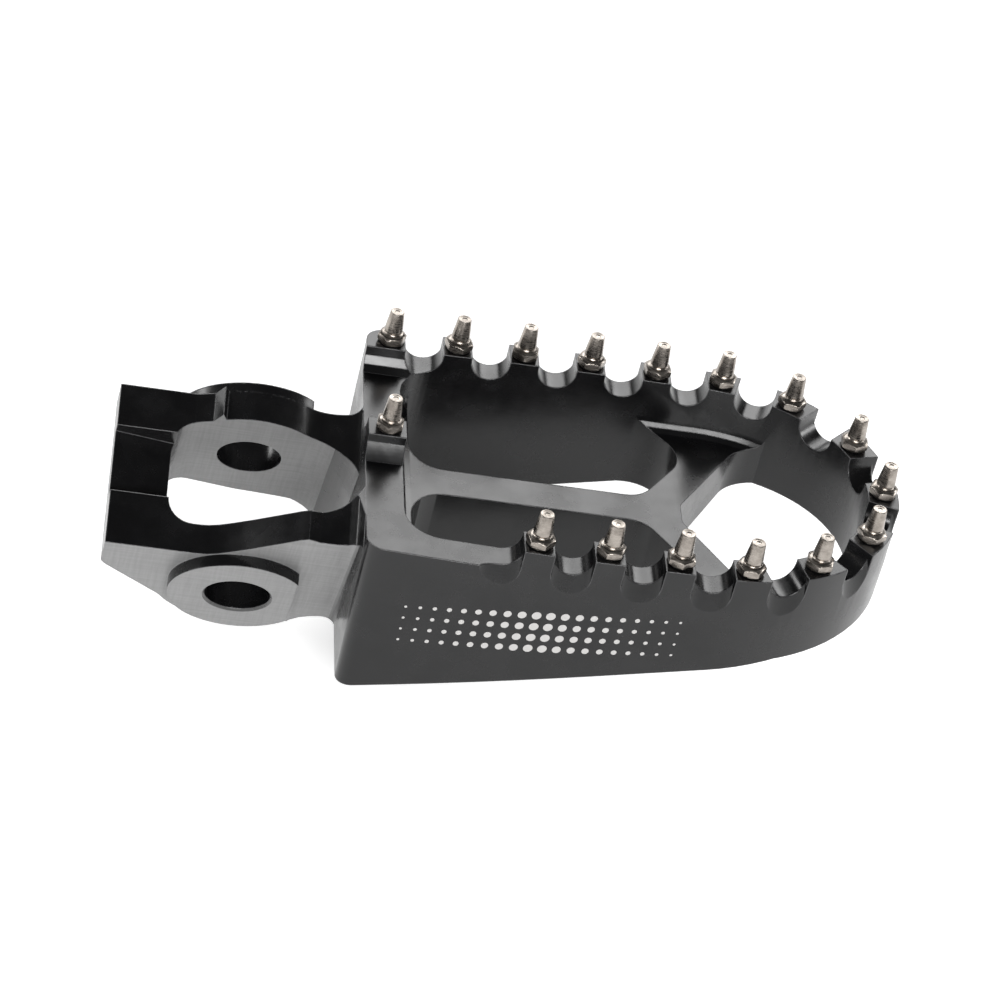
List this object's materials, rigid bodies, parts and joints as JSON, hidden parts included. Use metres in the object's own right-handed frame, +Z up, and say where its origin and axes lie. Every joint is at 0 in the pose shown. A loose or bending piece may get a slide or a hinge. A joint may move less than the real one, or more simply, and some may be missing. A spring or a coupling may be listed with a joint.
{
  "type": "foot peg",
  "caption": "Folding foot peg for an off-road motorcycle: toothed open tread with screw-in cleats on a clevis that swings on a pivot pin",
  "frame": {"origin": "centre of the pivot bore, midway between the two ears", "axes": "+X outboard along the peg, +Y to the rear of the tread, +Z up, out of the teeth; the pivot axis lies in the YZ plane, 25 degrees above +Y"},
  "size_m": [0.1229, 0.053, 0.043],
  "materials": {
    "black_anodised": "black anodised, satin",
    "stainless": "turned"
  },
  "bodies": {
    "root": {"peg_body": "black_anodised", "cleat_01": "stainless", "cleat_02": "stainless", "cleat_03": "stainless", "cleat_04": "stainless", "cleat_05": "stainless", "cleat_06": "stainless", "cleat_07": "stainless", "cleat_08": "stainless", "cleat_09": "stainless", "cleat_10": "stainless", "cleat_11": "stainless", "cleat_12": "stainless", "cleat_13": "stainless", "cleat_14": "stainless", "cleat_15": "stainless", "cleat_16": "stainless"}
  },
  "joints": []
}
